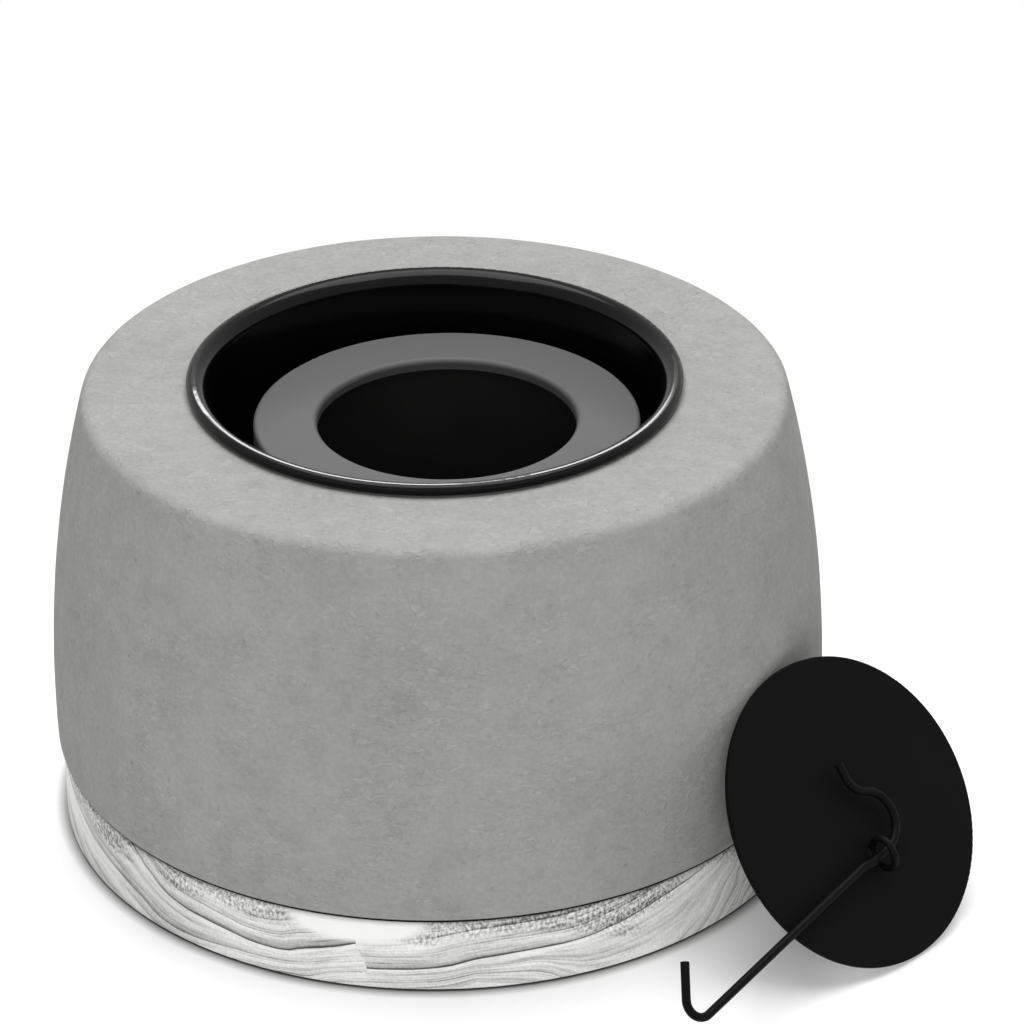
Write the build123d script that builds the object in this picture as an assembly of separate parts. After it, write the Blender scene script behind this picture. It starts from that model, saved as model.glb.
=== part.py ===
from build123d import *
import math
import os

# Driving dimensions in millimetres, angles in degrees, shares as plain numbers.
# Z points up from the table, and the origin is under the middle of the base.

# Clearance of pieces that lift off or hang loose
seat_gap = 0.2
loose_gap = 0.3

# Foam rubber pad glued under the base, set in from its edge
pad_inset = 8.3
pad_thickness = 0.5

# Marble base
base_diameter = 196.6
base_thickness = 19.3
base_top_edge_radius = 1.2
base_bottom_edge_radius = 0.5

# Foam ring glued between the base and the flat underside of the bowl
gasket_thickness = 0.8
gasket_inset = 0.5
gasket_width = 30.0

# Concrete bowl
bowl_overhang = 1.5
bowl_height = 98.0
bowl_belly_height = 15.4
bowl_side_arc_radius = 322.0
bowl_foot_inset = 1.8
bowl_foot_radius = 5.0
bowl_top_edge_radius = 3.2
bowl_mouth_edge_radius = 0.8
bowl_cavity_corner_radius = 10.0
cavity_wall_gap = 1.0
cavity_floor_gap = 8.8

# Sheet steel fire bowl that hangs in the concrete by its rolled rim
fire_bowl_rim_diameter = 125.6
fire_bowl_sheet = 0.8
fire_bowl_depth = 72.0
fire_bowl_bead_diameter = 2.8
fire_bowl_bead_wrap = 240.0
fire_bowl_flare_radius = 4.0
fire_bowl_corner_radius = 8.0
wall_draft = 3.0

# Fuel can standing on the floor of the fire bowl
can_height = 58.8
can_sheet = 0.6
can_shift = 2.9
can_corner_radius = 4.0
can_foot_width = 2.7
can_step_radius = 2.0
can_step_angle = 45.0
can_flange_gap = 0.1
can_flange_width = 2.3
can_flange_radius = 1.0

# Burner plate seamed onto the can
plate_wall_gap = 8.3
plate_opening_share = 0.672
plate_sheet = 0.8
plate_skirt_height = 5.0
plate_lip_height = 3.0
plate_outer_edge_radius = 1.0
plate_inner_edge_radius = 1.4

# Snuffer lid, leaning on the bowl with its lower edge on the table
lid_overlap = 6.5
lid_thickness = 1.5
lid_edge_radius = 0.4
lid_lean = 35.9
lid_facing = -45.0
lid_place = -34.1

# Oval wire eye welded on edge to the face of the lid
eye_wire = 1.8
eye_inner_length = 6.2
eye_inner_width = 4.6
eye_weld_flat = 0.4
eye_drop = 12.6

# Bent wire hook hanging in the eye
hook_wire = 2.2
hook_heading = 10.4
hook_journal_length = 5.0
hook_jog_angle = 18.0
hook_jog_radius = 9.0
hook_shank_length = 62.5
hook_end_bend_radius = 4.0
hook_end_bend_angle = 129.0
hook_end_length = 9.1
hook_curl_radius = 7.9
hook_curl_angle = 150.0
hook_flare_radius = 6.0
hook_flare_angle = 68.0
hook_tip_length = 4.0

# Levels of the stack, from the table up
base_bottom = pad_thickness
base_top = base_bottom + base_thickness
bowl_bottom = base_top + gasket_thickness
bowl_top = bowl_bottom + bowl_height
rim_top = bowl_top + seat_gap + fire_bowl_bead_diameter
fire_bowl_floor = rim_top - fire_bowl_depth
bowl_floor = fire_bowl_floor - fire_bowl_sheet - cavity_floor_gap
can_bottom = fire_bowl_floor + seat_gap
plate_top = can_bottom + can_height

# Circle of the bowl's side, seen in section
bowl_radius = base_diameter / 2 + bowl_overhang
side_centre_r = bowl_radius - bowl_side_arc_radius
side_centre_z = bowl_bottom + bowl_belly_height
foot_r = bowl_radius - bowl_foot_inset

# Head of the fire bowl's wall, where the flare begins
draft = math.radians(wall_draft)
bead_radius = fire_bowl_bead_diameter / 2
wall_head_r = fire_bowl_rim_diameter / 2 - bead_radius - fire_bowl_flare_radius * math.cos(draft)

# Burner plate inside the fire bowl, and the lid that covers its opening
plate_radius = wall_head_r - plate_wall_gap
opening_radius = plate_radius * plate_opening_share
lid_radius = opening_radius + lid_overlap


def side_radius(z):
    """Radius of the bowl's side at a height."""
    return side_centre_r + math.sqrt(bowl_side_arc_radius**2 - (z - side_centre_z) ** 2)


def turned(outline):
    """Turns a closed outline, drawn as radius against height, about the upright axis."""
    return revolve(Plane.XZ * make_face(outline), axis=Axis.Z)


def rings(solid):
    """Full circular edges of a turned piece, from the lowest up."""
    circles = solid.edges().filter_by(GeomType.CIRCLE)
    return circles.filter_by(lambda edge: edge.is_closed).sort_by(Axis.Z)


def straight(edge, length):
    """Straight edge that carries on from the end of another."""
    return Line(edge @ 1, edge @ 1 + (edge % 1) * length)


def bend(edge, radius, angle):
    """Arc that carries on from the end of another edge, turning left for a positive angle."""
    return JernArc(edge @ 1, edge % 1, radius, angle)


def chain(start, heading, moves, shift):
    """Edges of a run of straights and bends, shifted to the right of its way."""
    way = Vector(1, 0).rotate(Axis.Z, heading)
    here = Vector(*start) + way.rotate(Axis.Z, -90) * shift
    edges = []
    for size, angle in moves:
        if angle == 0:
            edges.append(Line(here, here + way * size))
        else:
            edges.append(JernArc(here, way, size + math.copysign(shift, angle), angle))
        here = edges[-1] @ 1
        way = edges[-1] % 1
    return edges


def turned_sheet(start, heading, moves, sheet):
    """Turned sheet piece from the section of its seen side, a list of sizes and turns."""
    seen = chain(start, heading, moves, 0)
    back = chain(start, heading, moves, sheet)
    ends = [Line(seen[0] @ 0, back[0] @ 0), Line(seen[-1] @ 1, back[-1] @ 1)]
    return turned(seen + back + ends)


def bent_wire(edges, diameter):
    """Round wire along a chain of straight and curved edges."""
    path = Wire(edges)
    section = Plane(origin=path @ 0, z_dir=path % 0) * Circle(diameter / 2)
    return sweep(section, path=path)


def disc(radius, thickness, bottom):
    """Plain disc standing on a level."""
    standing = (Align.CENTER, Align.CENTER, Align.MIN)
    return Pos(0, 0, bottom) * Cylinder(radius, thickness, align=standing)


def make_base_pad():
    """Disc that keeps the stone off the table."""
    return disc(base_diameter / 2 - pad_inset, pad_thickness, 0)


def make_marble_base():
    """Round slab with eased edges."""
    slab = disc(base_diameter / 2, base_thickness, base_bottom)
    slab = fillet(rings(slab)[-1], base_top_edge_radius)
    return fillet(rings(slab)[0], base_bottom_edge_radius)


def make_base_gasket():
    """Thin ring, set in from the bowl's foot so that the seam shows as a dark line."""
    outer_r = foot_r - gasket_inset
    ring = disc(outer_r, gasket_thickness, base_top)
    return ring - disc(outer_r - gasket_width, gasket_thickness, base_top)


def foot_arc():
    """Arc that turns in from the bowl's side to the edge of its flat underside."""
    side_centre = Vector(side_centre_r, side_centre_z)
    foot = Vector(foot_r, bowl_bottom)
    reach = bowl_side_arc_radius - bowl_foot_radius
    span = (foot - side_centre).length
    spread = math.acos((span**2 + reach**2 - bowl_foot_radius**2) / (2 * span * reach))
    way = (foot - side_centre).normalized().rotate(Axis.Z, math.degrees(spread))
    centre = side_centre + way * reach
    middle = centre + ((foot - centre).normalized() + way).normalized() * bowl_foot_radius
    return ThreePointArc(foot, middle, side_centre + way * bowl_side_arc_radius)


def make_concrete_bowl():
    """Cast bowl: one long arc for the side, turned in at the foot, and a drafted cavity."""
    mouth_r = wall_head_r + fire_bowl_sheet + cavity_wall_gap
    floor_r = mouth_r - (bowl_top - bowl_floor) * math.tan(draft)
    foot = foot_arc()
    middle_z = ((foot @ 1).Y + bowl_top) / 2
    side_head = (side_radius(bowl_top), bowl_top)
    side = ThreePointArc(foot @ 1, (side_radius(middle_z), middle_z), side_head)
    cavity = [(mouth_r, bowl_top), (floor_r, bowl_floor), (0, bowl_floor)]
    corners = [side_head, *cavity, (0, bowl_bottom), (foot_r, bowl_bottom)]
    lines = [Line(start, end) for start, end in zip(corners, corners[1:])]
    bowl = turned([foot, side, *lines])
    cavity_edge = min(rings(bowl), key=lambda ring: abs(ring.arc_center.Z - bowl_floor))
    bowl = fillet(cavity_edge, bowl_cavity_corner_radius)
    bowl = fillet(rings(bowl)[-2:].sort_by(SortBy.RADIUS)[-1], bowl_top_edge_radius)
    return fillet(rings(bowl).group_by(Axis.Z)[-1].sort_by(SortBy.RADIUS)[0], bowl_mouth_edge_radius)


def make_fire_bowl():
    """Drawn bowl with a flared mouth and an edge rolled out and under into a bead."""
    bends = fire_bowl_flare_radius + fire_bowl_corner_radius
    wall_rise = fire_bowl_depth - bends * (1 - math.sin(draft))
    wall_foot_r = wall_head_r - wall_rise * math.tan(draft)
    floor_r = wall_foot_r - fire_bowl_corner_radius * math.cos(draft)
    turn = 90 - wall_draft
    moves = [
        (floor_r, 0),
        (fire_bowl_corner_radius, turn),
        (wall_rise / math.cos(draft), 0),
        (fire_bowl_flare_radius, -turn),
        (bead_radius, -fire_bowl_bead_wrap),
    ]
    return turned_sheet((0, fire_bowl_floor), 0, moves, fire_bowl_sheet)


def make_fuel_can():
    """Drawn can with a raised panel in its bottom and a flange at its mouth."""
    step_rise = 2 * can_step_radius * (1 - math.cos(math.radians(can_step_angle)))
    step_run = 2 * can_step_radius * math.sin(math.radians(can_step_angle))
    inner_r = plate_radius - plate_outer_edge_radius - can_flange_gap - can_flange_width
    foot_z = can_bottom + can_sheet
    wall_rise = plate_top - plate_sheet - foot_z - can_corner_radius - can_flange_radius
    moves = [
        (inner_r - can_corner_radius - can_foot_width - step_run, 0),
        (can_step_radius, -can_step_angle),
        (can_step_radius, can_step_angle),
        (can_foot_width, 0),
        (can_corner_radius, 90),
        (wall_rise, 0),
        (can_flange_radius, -90),
        (can_flange_width - can_flange_radius, 0),
    ]
    can = turned_sheet((0, foot_z + step_rise), 0, moves, can_sheet)
    return Pos(can_shift, 0, 0) * can


def make_burner_plate():
    """Ring plate with its opening turned down inside and a skirt turned down over the can's flange."""
    ring_width = plate_radius - opening_radius
    moves = [
        (plate_lip_height - plate_inner_edge_radius, 0),
        (plate_inner_edge_radius, -90),
        (ring_width - plate_inner_edge_radius - plate_outer_edge_radius, 0),
        (plate_outer_edge_radius, -90),
        (plate_skirt_height - plate_outer_edge_radius, 0),
    ]
    start = (opening_radius, plate_top - plate_lip_height)
    plate = turned_sheet(start, 90, moves, plate_sheet)
    return Pos(can_shift, 0, 0) * plate


def lid_plane():
    """Plane of the lid's face: its lower edge stands on the table, its upper back edge on the bowl."""
    lean = math.radians(lid_lean)
    facing = math.radians(lid_facing)
    place = math.radians(lid_place)
    out = Vector(math.cos(facing) * math.cos(lean), math.sin(facing) * math.cos(lean), math.sin(lean))
    across = Vector(-math.sin(facing), math.cos(facing), 0)
    up = out.cross(across)
    ring_r = lid_radius - lid_edge_radius
    ring_depth = lid_thickness - lid_edge_radius
    height = ring_r * math.cos(lean) + ring_depth * math.sin(lean) + lid_edge_radius

    def clearance(reach):
        """Least distance from the rounded back edge to the side of the bowl."""
        middle = Vector(reach * math.cos(place), reach * math.sin(place), height) - out * ring_depth
        gaps = []
        for degree in range(360):
            turn = math.radians(degree)
            point = middle + across * (ring_r * math.cos(turn)) + up * (ring_r * math.sin(turn))
            from_axis = math.hypot(point.X, point.Y)
            gaps.append(math.hypot(from_axis - side_centre_r, point.Z - side_centre_z))
        return min(gaps) - bowl_side_arc_radius - lid_edge_radius

    near = bowl_radius
    far = near + 2 * lid_radius
    for _ in range(40):
        reach = (near + far) / 2
        if clearance(reach) < loose_gap:
            near = reach
        else:
            far = reach
    middle = Vector(far * math.cos(place), far * math.sin(place), height)
    return Plane(origin=middle, x_dir=across, z_dir=out)


def make_snuffer_lid():
    """Flat steel disc with eased edges."""
    plate = disc(lid_radius, lid_thickness, -lid_thickness)
    return lid_plane() * fillet(rings(plate), lid_edge_radius)


def make_lid_eye():
    """Oval link of round wire, ground flat where it is welded to the lid."""
    pitch_width = eye_inner_width + eye_wire
    pitch_straight = eye_inner_length - eye_inner_width
    low_side = Line((-pitch_straight / 2, 0), (pitch_straight / 2, 0))
    head = bend(low_side, pitch_width / 2, 180)
    top_side = straight(head, pitch_straight)
    tail = bend(top_side, pitch_width / 2, 180)
    link = bent_wire([low_side, head, top_side, tail], eye_wire)
    stand = Plane(origin=(0, -eye_drop, eye_wire / 2 - eye_weld_flat), x_dir=(0, 1, 0), z_dir=(1, 0, 0))
    link = split(stand * link, bisect_by=Plane.XY, keep=Keep.TOP)
    return lid_plane() * link


def hook_plane():
    """Plane of the hook on the lid: over the welded side of the eye, dipping to the rim of the lid."""
    heading = math.radians(hook_heading)
    way = Vector(math.cos(heading), math.sin(heading), 0)
    bar_top = eye_wire - eye_weld_flat
    along = eye_drop * math.sin(heading)
    to_rim = math.sqrt(lid_radius**2 - eye_drop**2 + along**2) - along
    dip = math.atan2(bar_top, to_rim)
    side = Vector(-math.sin(heading), math.cos(heading), 0)
    forward = way * math.cos(dip) + Vector(0, 0, 1) * math.sin(dip)
    origin = Vector(0, -eye_drop, bar_top + loose_gap + hook_wire / 2)
    return Plane(origin=origin, x_dir=forward, z_dir=forward.cross(side))


def hook_line():
    """Centre line of the hook, from its flared tip to its bent end, with the eye at the origin."""
    journal_end = hook_journal_length / 2
    journal = Line((-journal_end, 0), (journal_end, 0))
    curl = bend(journal, hook_curl_radius, hook_curl_angle)
    flare = bend(curl, hook_flare_radius, -hook_flare_angle)
    tip = straight(flare, hook_tip_length)
    jog_out = JernArc(journal @ 0, (-1, 0), hook_jog_radius, -hook_jog_angle)
    jog_back = bend(jog_out, hook_jog_radius, hook_jog_angle)
    shank = straight(jog_back, hook_shank_length)
    end_bend = bend(shank, hook_end_bend_radius, -hook_end_bend_angle)
    end = straight(end_bend, hook_end_length)
    return [tip, flare, curl, journal, jog_out, jog_back, shank, end_bend, end]


def make_lid_hook():
    """One bent wire that hangs in the eye and lies over the rim of the lid."""
    return lid_plane() * (hook_plane() * bent_wire(hook_line(), hook_wire))


makers = {
    "base_pad": make_base_pad,
    "marble_base": make_marble_base,
    "base_gasket": make_base_gasket,
    "concrete_bowl": make_concrete_bowl,
    "fire_bowl": make_fire_bowl,
    "fuel_can": make_fuel_can,
    "burner_plate": make_burner_plate,
    "snuffer_lid": make_snuffer_lid,
    "lid_eye": make_lid_eye,
    "lid_hook": make_lid_hook,
}

os.makedirs("parts", exist_ok=True)
for node, make in makers.items():
    export_step(make(), f"parts/{node}.step")
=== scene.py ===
"""Looks of a tabletop fire pit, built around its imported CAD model.

Lengths are in metres, or in millimetres where a name ends in mm, and angles are in degrees. The frame is that
of the CAD model: the table is at z = 0 and the bowl stands on the Z axis.
"""

import logging
import math
import random
from dataclasses import dataclass
from enum import Enum
from typing import Any

import bmesh
import bpy
from mathutils import Matrix, Vector, noise

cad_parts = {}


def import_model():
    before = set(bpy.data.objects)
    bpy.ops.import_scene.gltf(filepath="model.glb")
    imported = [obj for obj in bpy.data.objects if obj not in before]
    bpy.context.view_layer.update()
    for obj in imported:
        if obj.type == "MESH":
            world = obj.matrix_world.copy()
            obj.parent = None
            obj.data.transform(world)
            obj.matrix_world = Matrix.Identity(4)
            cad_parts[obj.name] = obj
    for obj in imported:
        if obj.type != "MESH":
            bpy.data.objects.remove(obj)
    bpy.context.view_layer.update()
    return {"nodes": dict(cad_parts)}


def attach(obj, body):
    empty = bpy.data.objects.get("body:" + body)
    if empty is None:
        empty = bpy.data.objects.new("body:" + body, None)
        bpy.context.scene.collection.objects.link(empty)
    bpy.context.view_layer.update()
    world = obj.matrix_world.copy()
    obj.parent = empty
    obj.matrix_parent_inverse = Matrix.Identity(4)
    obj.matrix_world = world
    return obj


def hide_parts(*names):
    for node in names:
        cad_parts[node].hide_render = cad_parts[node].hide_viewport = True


Tree = bpy.types.NodeTree
Source = bpy.types.Node | bpy.types.NodeSocket

MM = 0.001
UP = Vector((0, 0, 1))
FULL_TURN = 2 * math.pi
MERGE_DISTANCE = 0.001 * MM
SHARP_ANGLE = math.radians(38)

# Settings that several nodes share, and the sockets of a node that mixes two colours.
SOFT = {"interpolation_type": "SMOOTHSTEP"}
COLOURS = {"data_type": "RGBA"}
SHARE, FIRST, SECOND, MIXED = 0, 6, 7, 2

log = logging.getLogger("fire_pit")


class Body(Enum):
    """Bodies of the CAD model that new pieces ride on."""

    PIT = "pit"
    LID = "lid"


class Slot(Enum):
    """Material slots of the CAD model's record, named with each new piece."""

    CONCRETE = "concrete"
    WIRE = "wire_steel"


def to_linear(code: str) -> tuple[float, float, float, float]:
    """Turns an sRGB hex value to a linear colour.

    Args:
        code: Six hex digits after a hash sign.

    Returns:
        Red, green, blue and alpha, each from 0 to 1.
    """
    shares = [int(code[start : start + 2], 16) / 255 for start in (1, 3, 5)]
    red, green, blue = (
        share / 12.92 if share <= 0.04045 else ((share + 0.055) / 1.055) ** 2.4 for share in shares
    )
    return red, green, blue, 1.0


def per_mm(size: float) -> float:
    """Texture scale at which one feature of a pattern is this many millimetres wide."""
    return 1 / (size * MM)


def add_node(tree: Tree, kind: str, inputs: dict[Any, Any], **settings: Any) -> bpy.types.Node:
    """Adds a shader node with its settings, values and links.

    Args:
        tree: Node tree that gets the node.
        kind: Type of the node, without its ShaderNode prefix.
        inputs: Values, or what to link, by the input's name or number. A node gives its first output.
        settings: Attributes of the node.

    Returns:
        The new node.
    """
    node = tree.nodes.new("ShaderNode" + kind)
    for name, value in settings.items():
        setattr(node, name, value)
    for key, value in inputs.items():
        source = value.outputs[0] if isinstance(value, bpy.types.Node) else value
        if isinstance(source, bpy.types.NodeSocket):
            tree.links.new(source, node.inputs[key])
        else:
            node.inputs[key].default_value = source
    return node


@dataclass(frozen=True)
class Finish:
    """Surface of one real material, as a procedural shader."""

    name: str

    def surface(self, tree: Tree, spot: Source) -> dict[str, Any]:
        """Draws the pattern of the surface.

        Args:
            tree: Node tree of the material.
            spot: Object coordinates, in metres.

        Returns:
            Values and links for the inputs of the principled shader.
        """
        raise NotImplementedError

    def layered(self, tree: Tree, start: float, layers: list[tuple[Source, float]]) -> Any:
        """Adds up pattern layers, each with its own weight.

        Args:
            tree: Node tree of the material.
            start: Value that the layers are added to.
            layers: What gives each layer, and its weight.

        Returns:
            Node with the sum.
        """
        total: Any = start
        for layer, weight in layers:
            total = add_node(tree, "Math", {0: layer, 1: weight, 2: total}, operation="MULTIPLY_ADD")
        return total

    def material(self) -> bpy.types.Material:
        """Makes the material with its shader.

        Returns:
            The new material.
        """
        made = bpy.data.materials.new(self.name)
        made.use_nodes = True
        tree = made.node_tree
        tree.nodes.clear()
        spot = add_node(tree, "TexCoord", {}).outputs["Object"]
        shader = add_node(tree, "BsdfPrincipled", self.surface(tree, spot))
        add_node(tree, "OutputMaterial", {"Surface": shader})
        return made


@dataclass(frozen=True)
class CastConcrete(Finish):
    """Cement cast in a smooth mould: dry and even, with faint clouds, grit, pores and crumpled flecks."""

    light: str = "#a4a4a2"
    dark: str = "#858584"
    cloud_mm: float = 38.0
    blotch_mm: float = 7.0
    # Real sand is finer. It is drawn coarse enough to show.
    grit_mm: float = 1.3
    fleck_mm: float = 3.4
    fleck_flatness: float = 2.4
    fleck_span: tuple[float, float] = (0.52, 0.6)
    patch_mm: float = 15.0
    patch_span: tuple[float, float] = (0.38, 0.6)
    pore_mm: float = 5.5
    pore_span: tuple[float, float] = (0.13, 0.05)
    least_tone: float = -0.56
    cloud_tone: float = 0.6
    blotch_tone: float = 0.65
    grit_tone: float = 0.8
    fleck_tone: float = 0.2
    # Pores are painted darker: painted shade in their sunken middles.
    pore_shade_tone: float = -0.14
    grit_relief: float = 0.3
    blotch_relief: float = 0.3
    fleck_relief: float = 0.55
    pore_relief: float = -0.6
    relief_mm: float = 0.35
    relief_strength: float = 0.75
    rough: float = 0.86
    shine: float = 0.1

    def surface(self, tree: Tree, spot: Source) -> dict[str, Any]:
        """Layers clouds, grit, pores and patches of flecks into one tone and one relief.

        Args:
            tree: Node tree of the material.
            spot: Object coordinates, in metres.

        Returns:
            Values and links for the inputs of the principled shader.
        """
        noises = (
            {"Scale": per_mm(self.cloud_mm), "Detail": 4.0, "Roughness": 0.55},
            {"Scale": per_mm(self.blotch_mm), "Detail": 3.0, "Roughness": 0.6},
            {"Scale": per_mm(self.grit_mm), "Detail": 2.0, "Roughness": 0.7},
            {"Scale": per_mm(self.patch_mm), "Detail": 2.0},
        )
        cloud, blotch, grit, patch = (
            add_node(tree, "TexNoise", {"Vector": spot, **sizes}) for sizes in noises
        )
        low, high = self.patch_span
        patch = add_node(tree, "MapRange", {"Value": patch, "From Min": low, "From Max": high}, **SOFT)
        flat = add_node(tree, "Mapping", {"Vector": spot, "Scale": (1, 1, self.fleck_flatness)})
        sizes = {"Scale": per_mm(self.fleck_mm), "Detail": 3.0, "Roughness": 0.6, "Distortion": 0.8}
        fleck = add_node(tree, "TexNoise", {"Vector": flat, **sizes})
        low, high = self.fleck_span
        span = {"From Min": low, "From Max": high, "To Max": patch}
        fleck = add_node(tree, "MapRange", {"Value": fleck, **span}, **SOFT)
        cell = add_node(tree, "TexVoronoi", {"Vector": spot, "Scale": per_mm(self.pore_mm)})
        low, high = self.pore_span
        span = {"From Min": low, "From Max": high}
        pore = add_node(tree, "MapRange", {"Value": cell.outputs["Distance"], **span}, **SOFT)

        tones = [
            (cloud, self.cloud_tone),
            (blotch, self.blotch_tone),
            (grit, self.grit_tone),
            (fleck, self.fleck_tone),
            (pore, self.pore_shade_tone),
        ]
        reliefs = [
            (grit, self.grit_relief),
            (blotch, self.blotch_relief),
            (fleck, self.fleck_relief),
            (pore, self.pore_relief),
        ]
        tone = self.layered(tree, self.least_tone, tones)
        ends = {FIRST: to_linear(self.dark), SECOND: to_linear(self.light)}
        colour = add_node(tree, "Mix", {SHARE: tone, **ends}, **COLOURS).outputs[MIXED]
        height = self.layered(tree, 0.0, reliefs)
        depth = {"Strength": self.relief_strength, "Distance": self.relief_mm * MM}
        bump = add_node(tree, "Bump", {"Height": height, **depth})
        gloss = {"Roughness": self.rough, "Specular IOR Level": self.shine}
        return {"Base Color": colour, "Normal": bump, **gloss}


@dataclass(frozen=True)
class Grain:
    """One layer of noise in the marble, with its own place in the noise.

    Its features have a length along the rim and a height across it. A layer with a span is 0 below its low
    end and 1 above its high end.
    """

    place: float
    length_mm: float
    height_mm: float
    span: tuple[float, float] | None = None

    def draw(self, tree: Tree, along: Source, height: Source) -> Source:
        """Draws the noise over the unrolled rim.

        Args:
            tree: Node tree of the material.
            along: Length along the rim.
            height: Height across it.

        Returns:
            Node with values from 0 to 1.
        """
        plane = add_node(tree, "CombineXYZ", {"X": along, "Y": height})
        scale = (per_mm(self.length_mm), per_mm(self.height_mm), 0)
        sizes = {0: plane, 1: scale, 2: (0, 0, self.place)}
        sized = add_node(tree, "VectorMath", sizes, operation="MULTIPLY_ADD")
        drawn = add_node(tree, "TexNoise", {"Vector": sized, "Scale": 1.0, "Detail": 2.0})
        if self.span is None:
            return drawn
        low, high = self.span
        return add_node(tree, "MapRange", {"Value": drawn, "From Min": low, "From Max": high}, **SOFT)


@dataclass(frozen=True)
class VeinedMarble(Finish):
    """Honed white marble: grey veins that flow along the slab, each sharp below and fading upwards.

    Fine streaks run with the veins, patches near the top edge are crumbled, and at one fault the flow breaks
    off. The pattern is drawn on the unrolled rim: angles and lengths run round the slab from the fault, and
    heights carry on over the top edge towards the axis.
    """

    white: str = "#f6f6f4"
    grey: str = "#3c3c3b"
    radius_mm: float = 98.3
    fault_angle: float = -101.0
    fault_lean: float = 1.48969
    fault_low_mm: float = 6.0
    fault_high_mm: float = 13.0
    low_vein_mm: tuple[tuple[float, float], ...] = (
        (0, 3.9), (6, 4.6), (11, 5.9), (17, 6.6), (23, 6.6), (29, 4.4), (36, 2.0), (44, 3.3), (51, 7.3),
        (60, 16.5), (75, 26.0), (110, 20.0), (150, 27.0), (190, 21.0), (230, 29.0), (262, 27.0), (285, 19.0),
        (297, 14.2), (305, 10.2), (313, 6.9), (321, 3.4), (328, 1.2), (338, 2.6), (347, 3.4), (355, 6.5),
        (360, 8.2),
    )
    high_vein_mm: tuple[tuple[float, float], ...] = (
        (0, 5.9), (10, 6.9), (17, 9.2), (25, 10.2), (32, 10.8), (37, 12.4), (44, 15.0), (51, 17.8),
        (60, 22.5), (75, 32.0), (110, 27.0), (150, 33.0), (190, 27.5), (230, 36.0), (262, 36.0), (285, 32.0),
        (297, 28.5), (305, 25.5), (313, 23.0), (320, 20.0), (324, 15.7), (331, 10.4), (339, 8.5), (345, 7.2),
        (351, 9.2), (360, 12.9),
    )
    vein_reach_mm: float = 40.0
    band_mm: float = 5.0
    least_band_mm: float = 2.4
    warp_mm: float = 1.6
    warp: Grain = Grain(0.0, 30.0, 9.0)
    main_mm: float = 6.0
    main_angles: tuple[float, float] = (57.0, 19.0)
    main_crisp: float = 0.5
    vein_mm: float = 4.2
    vein_swell: Grain = Grain(3.0, 60.0, 8.4, (0.36, 0.6))
    thread_mm: float = 1.7
    thread_swell: Grain = Grain(7.0, 40.0, 3.4, (0.36, 0.6))
    vein_crisp: float = 0.35
    line_mm: float = 0.6
    fade_power: float = 2.5
    streak: Grain = Grain(1.0, 34.0, 2.4, (0.42, 0.72))
    fibre: Grain = Grain(11.0, 9.0, 0.5, (0.46, 0.7))
    crumb: Grain = Grain(5.0, 0.75, 1.2, (0.35, 0.65))
    patch: Grain = Grain(9.0, 26.0, 26.0 / 3)
    patch_low_mm: float = 10.0
    patch_high_mm: float = 17.0
    patch_start: float = -0.3
    patch_rise: float = 0.36
    patch_span: tuple[float, float] = (0.4, 0.62)
    ripple_angle: float = 40.0
    ripple_spread: float = 13.0
    ripple_low_mm: float = 6.0
    ripple_rise: float = 0.34
    calm_angle: float = 10.4
    calm_top_mm: float = 20.5
    calm_drop_mm: float = 7.0
    calm_power: float = 2.4
    calm_span: tuple[float, float] = (0.6, 1.35)
    dusk_angles: tuple[float, float, float, float] = (120.0, 240.0, 320.0, 345.0)
    least_tone: float = -0.01
    main_tone: float = 1.0
    vein_tone: float = 0.58
    thread_tone: float = 0.34
    streak_tone: float = 0.18
    fibre_tone: float = 0.2
    crumbled_tone: float = 0.45
    crumb_tone: float = 0.1
    dusk_tone: float = 0.13
    rough: float = 0.3
    ior: float = 1.5

    def unroll(self, tree: Tree, spot: Source) -> tuple[Source, Source]:
        """Unrolls the rim of the slab from the fault, which leans over at half height.

        Args:
            tree: Node tree of the material.
            spot: Object coordinates, in metres.

        Returns:
            Nodes with the angle from the fault in radians, and with the height.
        """
        across, deep, level = add_node(tree, "SeparateXYZ", {"Vector": spot}).outputs
        angle = add_node(tree, "Math", {0: deep, 1: across}, operation="ARCTAN2")
        span = {"From Min": self.fault_low_mm * MM, "From Max": self.fault_high_mm * MM}
        lean = add_node(tree, "MapRange", {"Value": level, **span}, **SOFT)
        turns = [(angle, 1.0), (lean, math.radians(self.fault_lean))]
        turn = self.layered(tree, -math.radians(self.fault_angle), turns)
        turn = add_node(tree, "Math", {0: turn, 1: FULL_TURN, 2: 0.0}, operation="WRAP")
        ring = add_node(tree, "CombineXYZ", {"X": across, "Y": deep})
        reach = add_node(tree, "VectorMath", {0: ring}, operation="LENGTH").outputs["Value"]
        return turn, self.layered(tree, self.radius_mm * MM, [(level, 1.0), (reach, -1.0)])

    def guide(self, tree: Tree, share: Source, points_mm: tuple[tuple[float, float], ...]) -> Source:
        """Draws the height of one vein round the slab.

        Args:
            tree: Node tree of the material.
            share: Share of a full turn from the fault.
            points_mm: Degrees from the fault and heights in millimetres.

        Returns:
            Node with the height, as a share of the reach of the veins.
        """
        curve = add_node(tree, "FloatCurve", {"Value": share})
        points = curve.mapping.curves[0].points
        for degrees, rise in points_mm[1:-1]:
            points.new(degrees / 360, rise / self.vein_reach_mm)
        points[0].location = (0, points_mm[0][1] / self.vein_reach_mm)
        points[-1].location = (1, points_mm[-1][1] / self.vein_reach_mm)
        curve.mapping.update()
        return curve

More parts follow.
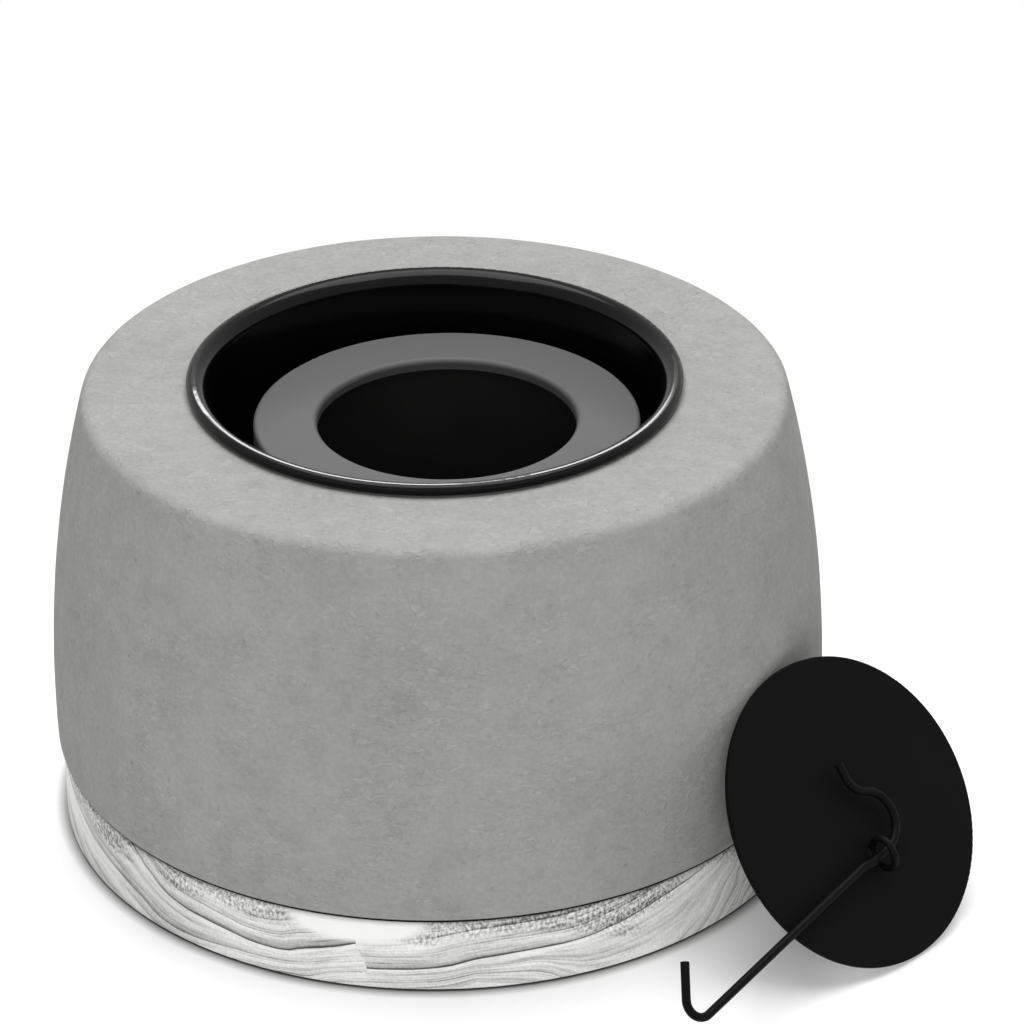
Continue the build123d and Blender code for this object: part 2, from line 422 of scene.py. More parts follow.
    def flow(self, tree: Tree, turn: Source, along: Source, height: Source) -> Source:
        """Finds the height above the main vein, with the band below it stretched to the next guiding vein.

        Args:
            tree: Node tree of the material.
            turn: Angle from the fault.
            along: Length along the rim.
            height: Height on the unrolled rim.

        Returns:
            Node with the height above the flow, in metres.
        """
        share = add_node(tree, "Math", {0: turn, 1: FULL_TURN}, operation="DIVIDE")
        low, high = (self.guide(tree, share, points) for points in (self.low_vein_mm, self.high_vein_mm))
        reach, bend = self.vein_reach_mm * MM, self.warp_mm * MM
        warp = self.warp.draw(tree, along, height)
        over = self.layered(tree, -bend / 2, [(height, 1.0), (high, -reach), (warp, bend)])
        band = self.layered(tree, 0.0, [(high, reach), (low, -reach)])
        band = add_node(tree, "Math", {0: band, 1: self.least_band_mm * MM}, operation="MAXIMUM")
        under = add_node(tree, "Math", {0: over, 1: band}, operation="DIVIDE")
        under = add_node(tree, "Math", {0: under, 1: 0.0}, operation="MINIMUM")
        over = add_node(tree, "Math", {0: over, 1: 0.0}, operation="MAXIMUM")
        return self.layered(tree, 0.0, [(over, 1.0), (under, self.band_mm * MM)])

    def vein(self, tree: Tree, step: Source, pitch: float, crisp: float) -> Source:
        """Draws a vein as a dark line that fades upwards.

        Args:
            tree: Node tree of the material.
            step: Height above the vein, as a share of its pitch.
            pitch: Millimetres from this vein to the next.
            crisp: Share of the line in the vein, against that of the fading shade.

        Returns:
            Node with the darkness of the vein.
        """
        shade = add_node(tree, "Math", {0: 1.0, 1: step}, operation="SUBTRACT")
        shade = add_node(tree, "Math", {0: shade, 1: self.fade_power}, operation="POWER")
        span = {"From Min": self.line_mm / pitch, "From Max": 0.0}
        line = add_node(tree, "MapRange", {"Value": step, **span}, **SOFT)
        return self.layered(tree, 0.0, [(shade, 1 - crisp), (line, crisp)])

    def main_vein(self, tree: Tree, away: Source, flow: Source) -> Source:
        """Draws the main vein, which fades out some way from the fault on either side.

        Args:
            tree: Node tree of the material.
            away: Angle from the fault, to either side.
            flow: Height above the flow.

        Returns:
            Node with the darkness of the vein.
        """
        rise = {0: flow, 1: per_mm(self.main_mm)}
        step = add_node(tree, "Math", rise, operation="MULTIPLY", use_clamp=True)
        main = self.vein(tree, step, self.main_mm, self.main_crisp)
        over = add_node(tree, "Math", {0: flow, 1: 0.0}, operation="GREATER_THAN")
        far, near = (math.radians(angle) for angle in self.main_angles)
        close = add_node(tree, "MapRange", {"Value": away, "From Min": far, "From Max": near}, **SOFT)
        main = add_node(tree, "Math", {0: main, 1: over}, operation="MULTIPLY")
        return add_node(tree, "Math", {0: main, 1: close}, operation="MULTIPLY")

    def veins(self, tree: Tree, along: Source, flow: Source, pitch: float, swell: Grain) -> Source:
        """Draws veins at even steps of the flow, some strong and some hardly there.

        Args:
            tree: Node tree of the material.
            along: Length along the rim.
            flow: Height above the flow.
            pitch: Millimetres from vein to vein.
            swell: Noise by which they swell and fade.

        Returns:
            Node with the darkness of the veins.
        """
        rise = add_node(tree, "Math", {0: flow, 1: per_mm(pitch)}, operation="MULTIPLY")
        step = add_node(tree, "Math", {0: rise}, operation="FRACT")
        both = {0: self.vein(tree, step, pitch, self.vein_crisp), 1: swell.draw(tree, along, flow)}
        return add_node(tree, "Math", both, operation="MULTIPLY")

    def crumbs(self, tree: Tree, turn: Source, along: Source, height: Source) -> tuple[Source, Source]:
        """Draws the fine crumbs of the stone, and the patches near the top edge where they are strong.

        Args:
            tree: Node tree of the material.
            turn: Angle from the fault.
            along: Length along the rim.
            height: Height on the unrolled rim.

        Returns:
            Nodes with the crumbs all over, and with those in the patches.
        """
        crumb = self.crumb.draw(tree, along, height)
        span = {"From Min": self.patch_low_mm * MM, "From Max": self.patch_high_mm * MM}
        top = add_node(tree, "MapRange", {"Value": height, **span}, **SOFT)
        offset = {0: turn, 1: math.radians(self.ripple_angle)}
        beside = add_node(tree, "Math", offset, operation="SUBTRACT")
        beside = add_node(tree, "Math", {0: beside}, operation="ABSOLUTE")
        span = {"From Min": math.radians(self.ripple_spread), "From Max": 0.0}
        near = add_node(tree, "MapRange", {"Value": beside, **span}, **SOFT)
        span = {"From Min": self.ripple_low_mm * MM, "From Max": self.patch_low_mm * MM}
        above = add_node(tree, "MapRange", {"Value": height, **span}, **SOFT)
        ripple = add_node(tree, "Math", {0: near, 1: above}, operation="MULTIPLY")
        rises = [
            (self.patch.draw(tree, along, height), 1.0),
            (top, self.patch_rise),
            (ripple, self.ripple_rise),
        ]
        rise = self.layered(tree, self.patch_start, rises)
        low, high = self.patch_span
        patch = add_node(tree, "MapRange", {"Value": rise, "From Min": low, "From Max": high}, **SOFT)
        return crumb, add_node(tree, "Math", {0: crumb, 1: patch}, operation="MULTIPLY")

    def wild(self, tree: Tree, away: Source, height: Source) -> Source:
        """Leaves a calm patch of plain white stone over the fault, under the top edge.

        Args:
            tree: Node tree of the material.
            away: Angle from the fault, to either side.
            height: Height on the unrolled rim.

        Returns:
            Node that is 0 in the patch and 1 away from it.
        """
        scale = {0: away, 1: math.radians(self.calm_angle)}
        aside = add_node(tree, "Math", scale, operation="DIVIDE")
        aside = add_node(tree, "Math", {0: aside, 1: self.calm_power}, operation="POWER")
        fall = [(height, -per_mm(self.calm_drop_mm))]
        drop = self.layered(tree, self.calm_top_mm / self.calm_drop_mm, fall)
        drop = add_node(tree, "Math", {0: drop, 1: 0.0}, operation="MAXIMUM")
        drop = add_node(tree, "Math", {0: drop, 1: self.calm_power}, operation="POWER")
        reach = self.layered(tree, 0.0, [(aside, 1.0), (drop, 1.0)])
        low, high = self.calm_span
        return add_node(tree, "MapRange", {"Value": reach, "From Min": low, "From Max": high}, **SOFT)

    def dusk(self, tree: Tree, turn: Source) -> Source:
        """Makes the stone greyer on one side of the slab.

        Args:
            tree: Node tree of the material.
            turn: Angle from the fault.

        Returns:
            Node that is 1 on that side.
        """
        first, second, third, last = (math.radians(angle) for angle in self.dusk_angles)
        rise = add_node(tree, "MapRange", {"Value": turn, "From Min": first, "From Max": second}, **SOFT)
        fall = add_node(tree, "MapRange", {"Value": turn, "From Min": last, "From Max": third}, **SOFT)
        return add_node(tree, "Math", {0: rise, 1: fall}, operation="MULTIPLY")

    def surface(self, tree: Tree, spot: Source) -> dict[str, Any]:
        """Adds up veins, streaks and crumbs over the unrolled rim, and calms the stone over the fault.

        Args:
            tree: Node tree of the material.
            spot: Object coordinates, in metres.

        Returns:
            Values and links for the inputs of the principled shader.
        """
        turn, height = self.unroll(tree, spot)
        away = add_node(tree, "Math", {0: turn, 1: math.pi}, operation="PINGPONG")
        along = add_node(tree, "Math", {0: turn, 1: self.radius_mm * MM}, operation="MULTIPLY")
        flow = self.flow(tree, turn, along, height)
        crumb, crumbled = self.crumbs(tree, turn, along, height)
        tones = [
            (self.main_vein(tree, away, flow), self.main_tone),
            (self.veins(tree, along, flow, self.vein_mm, self.vein_swell), self.vein_tone),
            (self.veins(tree, along, flow, self.thread_mm, self.thread_swell), self.thread_tone),
            (self.streak.draw(tree, along, flow), self.streak_tone),
            (self.fibre.draw(tree, along, flow), self.fibre_tone),
            (crumbled, self.crumbled_tone),
            (crumb, self.crumb_tone),
            (self.dusk(tree, turn), self.dusk_tone),
        ]
        tone = self.layered(tree, self.least_tone, tones)
        held = {0: tone, 1: self.wild(tree, away, height)}
        tone = add_node(tree, "Math", held, operation="MULTIPLY", use_clamp=True)
        ends = {FIRST: to_linear(self.white), SECOND: to_linear(self.grey)}
        colour = add_node(tree, "Mix", {SHARE: tone, **ends}, **COLOURS).outputs[MIXED]
        return {"Base Color": colour, "Roughness": self.rough, "IOR": self.ior}


@dataclass(frozen=True)
class SteelSkin(Finish):
    """Skin on steel: a fine pattern over faint clouds, which both change its tone and its gloss."""

    light: str
    dark: str
    fine_mm: float
    cloud_mm: float
    least_tone: float
    fine_tone: float
    cloud_tone: float
    rough: float
    fine_rough: float
    cloud_rough: float
    relief_mm: float
    relief_strength: float
    shine: float = 0.5
    bare: float = 0.0

    def fine(self, tree: Tree, spot: Source) -> Source:
        """Draws the fine pattern, as plain grain.

        Args:
            tree: Node tree of the material.
            spot: Object coordinates, in metres.

        Returns:
            Node with values from 0 to 1.
        """
        sizes = {"Scale": per_mm(self.fine_mm), "Detail": 2.0}
        return add_node(tree, "TexNoise", {"Vector": spot, **sizes})

    def surface(self, tree: Tree, spot: Source) -> dict[str, Any]:
        """Adds up the fine pattern and the clouds.

        Args:
            tree: Node tree of the material.
            spot: Object coordinates, in metres.

        Returns:
            Values and links for the inputs of the principled shader.
        """
        fine = self.fine(tree, spot)
        sizes = {"Scale": per_mm(self.cloud_mm), "Detail": 4.0}
        cloud = add_node(tree, "TexNoise", {"Vector": spot, **sizes})
        tone = self.layered(tree, self.least_tone, [(fine, self.fine_tone), (cloud, self.cloud_tone)])
        ends = {FIRST: to_linear(self.dark), SECOND: to_linear(self.light)}
        colour = add_node(tree, "Mix", {SHARE: tone, **ends}, **COLOURS).outputs[MIXED]
        rough = self.layered(tree, self.rough, [(fine, self.fine_rough), (cloud, self.cloud_rough)])
        depth = {"Strength": self.relief_strength, "Distance": self.relief_mm * MM}
        bump = add_node(tree, "Bump", {"Height": fine, **depth})
        gloss = {"Metallic": self.bare, "Roughness": rough, "Specular IOR Level": self.shine}
        return {"Base Color": colour, "Normal": bump, **gloss}


@dataclass(frozen=True)
class StoveEnamel(SteelSkin):
    """Black enamel fired on drawn steel: glossy, with the slight waviness of orange peel."""

    light: str = "#0a0a0a"
    dark: str = "#040404"
    fine_mm: float = 2.2
    cloud_mm: float = 25.0
    least_tone: float = 0.0
    fine_tone: float = 0.0
    cloud_tone: float = 1.0
    rough: float = 0.11
    fine_rough: float = 0.02
    cloud_rough: float = 0.06
    relief_mm: float = 0.004
    relief_strength: float = 0.5
    shine: float = 0.13


@dataclass(frozen=True)
class TurnedSteel(SteelSkin):
    """Steel sheet with a thin grey skin, satin: fine rings left by turning, which blur its reflections."""

    light: str = "#4c4c4c"
    dark: str = "#454545"
    # Real rings are closer together. They are drawn coarse enough to show.
    fine_mm: float = 0.9
    cloud_mm: float = 14.0
    least_tone: float = -0.1
    fine_tone: float = 0.6
    cloud_tone: float = 0.6
    rough: float = 0.56
    fine_rough: float = 0.12
    cloud_rough: float = 0.08
    relief_mm: float = 0.01
    relief_strength: float = 0.4
    bare: float = 0.15
    centre_mm: float = 2.9

    def fine(self, tree: Tree, spot: Source) -> Source:
        """Draws rings about the axis of the piece.

        Args:
            tree: Node tree of the material.
            spot: Object coordinates, in metres.

        Returns:
            Node with values from 0 to 1.
        """
        moved = add_node(tree, "Mapping", {"Vector": spot, "Location": (-self.centre_mm * MM, 0, 0)})
        level = add_node(tree, "VectorMath", {0: moved, 1: (1, 1, 0)}, operation="MULTIPLY")
        reach = add_node(tree, "VectorMath", {0: level}, operation="LENGTH").outputs["Value"]
        sizes = {"Scale": per_mm(self.fine_mm), "Detail": 3.0, "Roughness": 0.7}
        return add_node(tree, "TexNoise", {"W": reach, **sizes}, noise_dimensions="1D")


@dataclass(frozen=True)
class PowderCoat(SteelSkin):
    """Black coat baked onto steel: grainy to the touch, so it takes light as a soft, even black."""

    light: str = "#0d0d0d"
    dark: str = "#060606"
    # Real grain is finer. It is drawn coarse enough to show.
    fine_mm: float = 0.7
    cloud_mm: float = 18.0
    least_tone: float = -0.2
    fine_tone: float = 0.5
    cloud_tone: float = 0.9
    rough: float = 0.52
    fine_rough: float = 0.1
    cloud_rough: float = 0.1
    relief_mm: float = 0.03
    relief_strength: float = 0.5
    shine: float = 0.05


@dataclass(frozen=True)
class FoamRubber(Finish):
    """Black foam rubber with open pores: no shine at all."""

    light: str = "#1c1c1c"
    dark: str = "#090909"
    # Real pores are finer. They are drawn coarse enough to show.
    pore_mm: float = 0.9
    relief_mm: float = 0.2
    relief_strength: float = 0.8
    rough: float = 0.95
    shine: float = 0.2

    def surface(self, tree: Tree, spot: Source) -> dict[str, Any]:
        """Draws the pores as round sunken cells, with painted shade in their middle.

        Args:
            tree: Node tree of the material.
            spot: Object coordinates, in metres.

        Returns:
            Values and links for the inputs of the principled shader.
        """
        cells = add_node(tree, "TexVoronoi", {"Vector": spot, "Scale": per_mm(self.pore_mm)})
        pore = cells.outputs["Distance"]
        ends = {FIRST: to_linear(self.dark), SECOND: to_linear(self.light)}
        colour = add_node(tree, "Mix", {SHARE: pore, **ends}, **COLOURS).outputs[MIXED]
        depth = {"Strength": self.relief_strength, "Distance": self.relief_mm * MM}
        bump = add_node(tree, "Bump", {"Height": pore, **depth})
        gloss = {"Roughness": self.rough, "Specular IOR Level": self.shine}
        return {"Base Color": colour, "Normal": bump, **gloss}


class Section:
    """Half section of a turned piece, drawn as a chain of straights and bends and then spun."""

    def __init__(self, radius: float, height: float, heading: float) -> None:
        """Starts the section at a point.

        Args:
            radius: Distance from the axis.
            height: Height above the table.
            heading: Direction of the first run in degrees, 0 for outwards and 90 for up.
        """
        self.mesh = bmesh.new()
        self.tip = self.mesh.verts.new((radius, 0, height))
        self.heading = math.radians(heading)

    def straight(self, length: float, steps: int) -> None:
        """Carries the section straight on.

        Args:
            length: Length of the run.
            steps: Number of edges that it is cut into.
        """
        way = Vector((math.cos(self.heading), 0, math.sin(self.heading))) * (length / steps)
        for _ in range(steps):
            self.tip = bmesh.ops.extrude_vert_indiv(self.mesh, verts=[self.tip])["verts"][0]
            bmesh.ops.translate(self.mesh, verts=[self.tip], vec=way)

    def bend(self, radius: float, angle: float, steps: int) -> None:
        """Carries the section on round an arc.

        Args:
            radius: Radius of the arc.
            angle: Turn in degrees, to the left when positive.
            steps: Number of edges along the arc.
        """
        left = Vector((-math.sin(self.heading), 0, math.cos(self.heading)))
        centre = self.tip.co + left * math.copysign(radius, angle)
        turn = math.radians(angle)
        side = Vector((0, -1, 0))
        spun = bmesh.ops.spin(self.mesh, geom=[self.tip], cent=centre, axis=side, angle=turn, steps=steps)
        self.tip = next(part for part in spun["geom_last"] if isinstance(part, bmesh.types.BMVert))
        self.heading += turn

    def corner(self, heading: float) -> None:
        """Turns the section on the spot to a new heading in degrees."""
        self.heading = math.radians(heading)

    def spun(self, steps: int) -> bmesh.types.BMesh:
        """Spins the section about the upright axis.

        Args:
            steps: Number of faces round the piece.

        Returns:
            The closed mesh, facing outwards.
        """
        mesh = self.mesh
        bmesh.ops.spin(
            mesh,
            geom=mesh.verts[:] + mesh.edges[:],
            cent=(0, 0, 0),
            axis=UP,
            angle=FULL_TURN,
            steps=steps,
            use_merge=True,
        )
        bmesh.ops.remove_doubles(mesh, verts=mesh.verts, dist=MERGE_DISTANCE)
        bmesh.ops.recalc_face_normals(mesh, faces=mesh.faces)
        mesh.normal_update()
        return mesh


class SubAssembly:
    """What the sub-assemblies share: adding new pieces, and coating pieces and nodes of the CAD model."""

    def add_piece(
        self, mesh: bmesh.types.BMesh, name: str, body: Body, slot: Slot, *replaced: str
    ) -> bpy.types.Object:
        """Makes a smooth-shaded piece of a mesh and lets it ride on a body.

        Args:
            mesh: Finished mesh, which is freed.
            name: Name of the piece.
            body: Body that it moves with.
            slot: Material slot named for the piece; not used.
            replaced: Nodes that it stands for.

        Returns:
            The new piece.
        """
        data = bpy.data.meshes.new(name)
        mesh.to_mesh(data)
        mesh.free()
        data.shade_smooth()
        data.set_sharp_from_angle(angle=SHARP_ANGLE)
        piece = bpy.data.objects.new(name, data)
        bpy.context.scene.collection.objects.link(piece)
        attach(piece, body.value)
        if replaced:
            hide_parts(*replaced)
        log.info("made %s with %d faces", name, len(data.polygons))
        return piece

    def coat(self, piece: bpy.types.Object, finish: Finish) -> None:
        """Gives a piece or a node the material of a finish.

        Args:
            piece: Object that gets the material.
            finish: Finish that makes it.
        """
        made = bpy.data.materials.get(finish.name) or finish.material()
        if not piece.material_slots:
            piece.data.materials.append(made)
        for slot in piece.material_slots:
            slot.material = made
        log.info("coated %s with %s", piece.name, finish.name)


@dataclass
class Pit(SubAssembly):
    """Concrete bowl on its marble base, with the foam ring between them and the pad below."""

    bottom: float = 20.6 * MM
    height: float = 98.0 * MM
    belly_radius: float = 99.8 * MM
    belly_height: float = 15.4 * MM
    side_arc: float = 322.0 * MM
    top_edge: float = 3.2 * MM
    foot_radius: float = 98.0 * MM
    foot_edge: float = 5.0 * MM
    mouth_radius: float = 59.2 * MM
    mouth_edge: float = 0.8 * MM
    cavity_floor: float = 40.0 * MM
    cavity_corner: float = 10.0 * MM
    draft: float = 3.0
    faces_round: int = 420
    foot_steps: int = 12
    edge_steps: int = 8
    side_steps: int = 66
    top_steps: int = 18
    mouth_steps: int = 4
    wall_steps: int = 8
    floor_steps: int = 6
    wave: float = 0.10 * MM
    wave_length: float = 14.0 * MM
    wave_fall: float = 1.0
    wave_gap: float = 2.0
    wave_octaves: int = 4
    hole_count: int = 70
    hole_rim: float = 0.5 * MM
    hole_depth: float = 0.16 * MM
    hole_margin: float = 1.15
    seed: int = 11

    def bowl_mesh(self) -> bmesh.types.BMesh:
        """Spins the section of the bowl: flat underside, one long arc for the side, and the drafted cavity.

        Returns:
            Mesh of the smooth bowl.
        """
        top = self.bottom + self.height
        arc_centre = Vector((self.belly_radius - self.side_arc, self.bottom + self.belly_height))
        foot = Vector((self.foot_radius, self.bottom))
        reach = self.side_arc - self.foot_edge
        span = foot - arc_centre
        spread = math.acos((span.length_squared + reach**2 - self.foot_edge**2) / (2 * span.length * reach))
        low_angle = math.atan2(span.y, span.x) + spread
        edge_centre = arc_centre + Vector((math.cos(low_angle), math.sin(low_angle))) * reach
        foot_angle = math.atan2(foot.y - edge_centre.y, foot.x - edge_centre.x)
        high_reach = self.side_arc - self.top_edge
        high_angle = math.asin((top - self.top_edge - arc_centre.y) / high_reach)
        head = arc_centre.x + high_reach * math.cos(high_angle)
        wall_turn = 90 - self.draft
        half = math.tan(math.radians(wall_turn / 2))
        drop = top - self.cavity_floor
        floor_radius = self.mouth_radius - drop * math.tan(math.radians(self.draft))
        wall = drop / math.cos(math.radians(self.draft)) - (self.mouth_edge + self.cavity_corner) * half

        section = Section(0, self.bottom, 0)
        section.straight(self.foot_radius, self.foot_steps)
        section.corner(math.degrees(foot_angle) + 90)
        section.bend(self.foot_edge, math.degrees(low_angle - foot_angle), self.edge_steps)
        section.bend(self.side_arc, math.degrees(high_angle - low_angle), self.side_steps)
        section.bend(self.top_edge, 90 - math.degrees(high_angle), self.edge_steps)
        section.straight(head - self.mouth_radius - self.mouth_edge * half, self.top_steps)
        section.bend(self.mouth_edge, wall_turn, self.mouth_steps)
        section.straight(wall, self.wall_steps)
        section.bend(self.cavity_corner, -wall_turn, self.edge_steps)
        section.straight(floor_radius - self.cavity_corner * half, self.floor_steps)
        return section.spun(self.faces_round)

    def grid_place(self, face: bmesh.types.BMFace) -> tuple[int, float]:
        """Finds where a face lies in the spun grid, because merging leaves the faces in no fixed order.

        Args:
            face: Face on the outside of the bowl.

        Returns:
            Number of its column round the bowl, and its angle up that column.
        """
        centre = face.calc_center_median()
        column = math.floor(math.atan2(centre.y, centre.x) / FULL_TURN * self.faces_round)
        return column, math.atan2(centre.z - self.bottom, centre.xy.length)

    def roughen(self, mesh: bmesh.types.BMesh) -> None:
        """Gives the cast surface its slight unevenness and its air holes, all cut inwards.

        Args:
            mesh: Smooth bowl, changed in place.
        """
        for vert in mesh.verts:
            place = vert.co / self.wave_length
            depth = 0.5 + 0.5 * noise.fractal(place, self.wave_fall, self.wave_gap, self.wave_octaves)
            vert.co -= vert.normal * (self.wave * min(max(depth, 0.0), 1.0))
        mesh.normal_update()
        low = self.bottom + self.belly_height
        inner = self.hole_margin * self.mouth_radius
        centres = ((face, face.calc_center_median()) for face in mesh.faces)
        outside = [face for face, centre in centres if centre.z > low and centre.xy.length > inner]
        outside.sort(key=self.grid_place)
        holes = random.Random(self.seed).sample(outside, self.hole_count)
        bmesh.ops.inset_individual(mesh, faces=holes, thickness=self.hole_rim, depth=-self.hole_depth)

    def build(self) -> bpy.types.Object:
        """Makes the cast bowl.

        Returns:
            The piece that stands for the bowl of the CAD model.
        """
        mesh = self.bowl_mesh()
        self.roughen(mesh)
        return self.add_piece(mesh, "bowl_casting", Body.PIT, Slot.CONCRETE, "concrete_bowl")

    def dress(self, nodes: dict[str, bpy.types.Object]) -> None:
        """Makes the bowl and coats bowl, base, foam ring and pad.

        Args:
            nodes: Nodes of the CAD model by name.
        """
        self.coat(self.build(), CastConcrete("cast_concrete"))
        self.coat(nodes["marble_base"], VeinedMarble("honed_marble"))
        self.coat(nodes["base_gasket"], FoamRubber("foam_rubber"))
        self.coat(nodes["base_pad"], FoamRubber("foam_rubber"))


@dataclass
class Burner(SubAssembly):
    """Fire bowl that hangs in the concrete, with the fuel can and its plate."""

    can_light: str = "#2c2c2b"
    can_dark: str = "#1c1c1c"
    can_rough: float = 0.4

    def dress(self, nodes: dict[str, bpy.types.Object]) -> None:
        """Coats fire bowl, plate and can.

        Args:
            nodes: Nodes of the CAD model by name.
        """
        drawn = TurnedSteel("drawn_steel", light=self.can_light, dark=self.can_dark, rough=self.can_rough)
        self.coat(nodes["fire_bowl"], StoveEnamel("stove_enamel"))
        self.coat(nodes["burner_plate"], TurnedSteel("turned_steel"))
        self.coat(nodes["fuel_can"], drawn)


@dataclass
class Snuffer(SubAssembly):
    """Lid that leans on the bowl, with its welded eye and the wire hook."""

    centre: Vector = Vector((102.492, -69.3925, 32.7167)) * MM
    lean: float = 35.9
    facing: float = -45.0
    eye_drop: float = 12.6 * MM
    weld_width: float = 1.7 * MM
    weld_length: float = 2.8 * MM
    weld_height: float = 0.75 * MM
    weld_segments: int = 40
    weld_rings: int = 20
    ripple: float = 0.22 * MM
    ripple_length: float = 0.9 * MM
    wire_rough: float = 0.35
    wire_shine: float = 0.06

    def face_matrix(self) -> Matrix:
        """Finds the frame of the lid's face.

        Returns:
            Matrix with Z out of the face and Y up the slope.
        """
        lean, facing = math.radians(self.lean), math.radians(self.facing)
        level = math.cos(lean)
        out = Vector((math.cos(facing) * level, math.sin(facing) * level, math.sin(lean)))
        across = UP.cross(out).normalized()
        axes = Matrix((across, out.cross(across), out)).transposed()
        return Matrix.Translation(self.centre) @ axes.to_4x4()

    def build(self) -> bpy.types.Object:
        """Makes the rippled weld along the foot of the eye.

        Returns:
            The weld.
        """
        mesh = bmesh.new()
        counts = {"u_segments": self.weld_segments, "v_segments": self.weld_rings}
        bmesh.ops.create_uvsphere(mesh, radius=1.0, **counts)
        bmesh.ops.scale(mesh, verts=mesh.verts, vec=(self.weld_width, self.weld_length, self.weld_height))
        mesh.normal_update()
        for vert in mesh.verts:
            vert.co += vert.normal * (self.ripple * noise.noise(vert.co / self.ripple_length))
        whole = mesh.verts[:] + mesh.edges[:] + mesh.faces[:]
        halved = bmesh.ops.bisect_plane(mesh, geom=whole, plane_co=(0, 0, 0), plane_no=UP, clear_inner=True)
        rim = [part for part in halved["geom_cut"] if isinstance(part, bmesh.types.BMEdge)]
        bmesh.ops.contextual_create(mesh, geom=rim)
        bmesh.ops.translate(mesh, verts=mesh.verts, vec=(0, -self.eye_drop, 0))
        bmesh.ops.transform(mesh, verts=mesh.verts, matrix=self.face_matrix())
        bmesh.ops.recalc_face_normals(mesh, faces=mesh.faces)
        return self.add_piece(mesh, "eye_weld", Body.LID, Slot.WIRE)

    def dress(self, nodes: dict[str, bpy.types.Object]) -> None:
        """Makes the weld and coats lid, weld, eye and hook.

        Args:
            nodes: Nodes of the CAD model by name.
        """
        wire = PowderCoat("coated_wire", rough=self.wire_rough, shine=self.wire_shine)
        self.coat(nodes["snuffer_lid"], PowderCoat("powder_coat"))
        for piece in (self.build(), nodes["lid_eye"], nodes["lid_hook"]):
            self.coat(piece, wire)


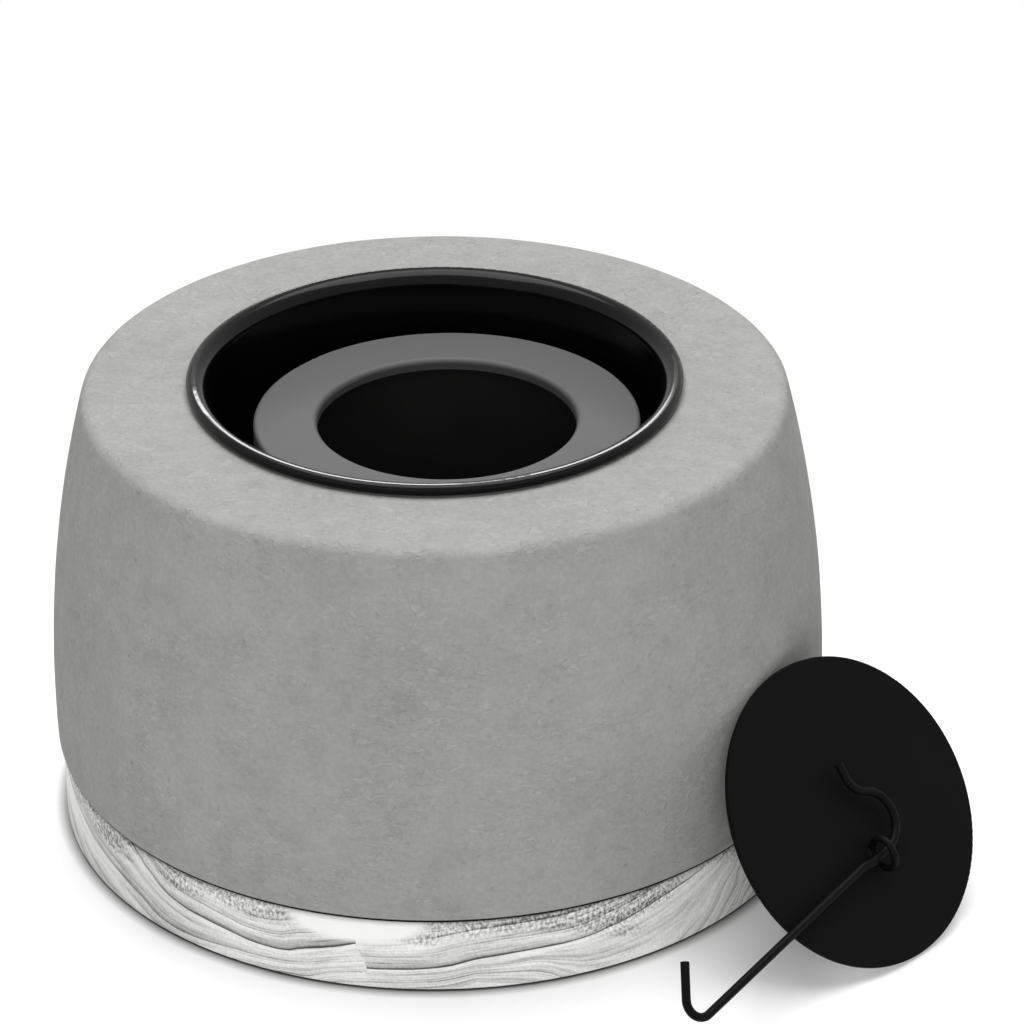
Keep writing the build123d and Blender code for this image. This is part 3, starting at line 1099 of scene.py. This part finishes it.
@dataclass
class Studio:
    """Pale floor, soft light panels and the camera of the photograph."""

    floor_size: float = 8.0
    floor_colour: str = "#f0f0f0"
    floor_seen: float = 1.02
    # Reach, depth and samples of the painted contact shade under the object.
    contact_reach: float = 3.6 * MM
    contact_depth: float = 1.5
    contact_samples: int = 8
    fade_start: float = 0.105
    fade_end: float = 0.2
    ambient: float = 0.17
    panel_size: tuple[float, float] = (1.6, 1.6)
    panel_place: Vector = Vector((0.0, 0.25, 1.7))
    panel_power: float = 41.0
    fill_place: Vector = Vector((-0.1, -2.2, 0.8))
    fill_power: float = 23.5
    strip_size: tuple[float, float] = (0.45, 0.3)
    strip_place: Vector = Vector((0.0, 2.0, 0.75))
    strip_power: float = 5.5
    camera_place: Vector = Vector((0.0, -1058.1, 649.8)) * MM
    camera_yaw: float = 1.045
    camera_pitch: float = 28.26
    camera_roll: float = -0.27
    lens_mm: float = 164.69
    sensor_mm: float = 36.0

    def seen(self, tree: Tree) -> Source:
        """Tells rays that show the surroundings from rays that only carry light.

        Args:
            tree: Node tree of the floor or the world.

        Returns:
            Node that is 1 for what is seen, also in a mirror or through glass.
        """
        path = add_node(tree, "LightPath", {}).outputs
        rays = {0: path["Is Camera Ray"], 1: path["Is Glossy Ray"]}
        shown = {0: add_node(tree, "Math", rays, operation="MAXIMUM"), 1: path["Is Transmission Ray"]}
        return add_node(tree, "Math", shown, operation="MAXIMUM")

    def floor_paper(self) -> bpy.types.Material:
        """Makes the paper of the floor.

        It keeps the shadow of the object, has a painted contact shade in the narrow gap under it, and turns
        white around it.

        Returns:
            The new material.
        """
        paper = bpy.data.materials.new("floor_paper")
        paper.use_nodes = True
        tree = paper.node_tree
        tree.nodes.clear()
        seen = self.seen(tree)
        # Painted contact shade: ambient occlusion darkens the floor's colour where the object comes close.
        near = {"Distance": self.contact_reach}
        gap = add_node(tree, "AmbientOcclusion", near, samples=self.contact_samples).outputs["AO"]
        shade = add_node(tree, "Math", {0: gap, 1: self.contact_depth}, operation="POWER")
        shade = add_node(tree, "Math", {0: shade, 1: self.floor_seen}, operation="MULTIPLY")
        tones = {SHARE: seen, FIRST: to_linear(self.floor_colour), SECOND: shade}
        colour = add_node(tree, "Mix", tones, **COLOURS).outputs[MIXED]
        matt = add_node(tree, "BsdfDiffuse", {"Color": colour})
        spot = add_node(tree, "TexCoord", {}).outputs["Object"]
        away = add_node(tree, "VectorMath", {0: spot}, operation="LENGTH").outputs["Value"]
        fade = {"Value": away, "From Min": self.fade_start, "From Max": self.fade_end, "To Max": seen}
        far = add_node(tree, "MapRange", fade, **SOFT)
        glow = add_node(tree, "Emission", {"Strength": 1.0})
        both = add_node(tree, "MixShader", {0: far, 1: matt, 2: glow})
        add_node(tree, "OutputMaterial", {"Surface": both})
        return paper

    def build_floor(self) -> None:
        """Lays the floor."""
        mesh = bmesh.new()
        bmesh.ops.create_grid(mesh, x_segments=2, y_segments=2, size=self.floor_size / 2)
        data = bpy.data.meshes.new("floor")
        mesh.to_mesh(data)
        mesh.free()
        data.materials.append(self.floor_paper())
        floor = bpy.data.objects.new("floor", data)
        bpy.context.scene.collection.objects.link(floor)

    def build_light(self) -> None:
        """Sets the white surroundings and hangs the light panels."""
        world = bpy.data.worlds.new("surroundings")
        bpy.context.scene.world = world
        world.use_nodes = True
        tree = world.node_tree
        tree.nodes.clear()
        levels = {"Value": self.seen(tree), "To Min": self.ambient, "To Max": 1.0}
        level = add_node(tree, "MapRange", levels)
        sky = add_node(tree, "Background", {"Color": (1, 1, 1, 1), "Strength": level})
        add_node(tree, "OutputWorld", {"Surface": sky})
        self.hang("top_panel", self.panel_place, self.panel_size, self.panel_power)
        self.hang("rim_strip", self.strip_place, self.strip_size, self.strip_power)
        front = self.hang("front_panel", self.fill_place, self.panel_size, self.fill_power)
        front.visible_glossy = False

    def hang(self, name: str, place: Vector, size: tuple[float, float], power: float) -> bpy.types.Object:
        """Hangs a light panel that faces the object.

        Args:
            name: Name of the lamp.
            place: Middle of the panel.
            size: Width and height of the panel.
            power: Power in watts.

        Returns:
            The lamp.
        """
        lamp = bpy.data.lights.new(name, "AREA")
        lamp.shape, lamp.energy = "RECTANGLE", power
        lamp.size, lamp.size_y = size
        holder = bpy.data.objects.new(name, lamp)
        holder.location = place
        holder.rotation_euler = (-place).to_track_quat("-Z", "Y").to_euler()
        bpy.context.scene.collection.objects.link(holder)
        return holder

    def build_camera(self) -> None:
        """Places the camera at the photograph's point of view."""
        yaw, pitch = math.radians(self.camera_yaw), math.radians(self.camera_pitch)
        level = math.cos(pitch)
        ahead = Vector((math.sin(yaw) * level, math.cos(yaw) * level, -math.sin(pitch)))
        right = ahead.cross(UP).normalized()
        axes = Matrix((right, right.cross(ahead), -ahead)).transposed().to_4x4()
        lens = bpy.data.cameras.new("camera")
        lens.lens, lens.sensor_width = self.lens_mm, self.sensor_mm
        camera = bpy.data.objects.new("camera", lens)
        roll = Matrix.Rotation(math.radians(self.camera_roll), 4, "Z")
        camera.matrix_world = Matrix.Translation(self.camera_place) @ axes @ roll
        bpy.context.scene.collection.objects.link(camera)
        bpy.context.scene.camera = camera

    def build(self) -> None:
        """Sets up floor, light, camera and the plain view transform."""
        self.build_floor()
        self.build_light()
        self.build_camera()
        bpy.context.scene.view_settings.view_transform = "Standard"


def main() -> None:
    """Loads the CAD model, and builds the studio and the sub-assemblies."""
    logging.basicConfig(level=logging.INFO, format="%(name)s: %(message)s")
    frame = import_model()
    Studio().build()
    for part in (Pit(), Burner(), Snuffer()):
        part.dress(frame["nodes"])
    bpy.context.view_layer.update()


if __name__ == "__main__":
    main()
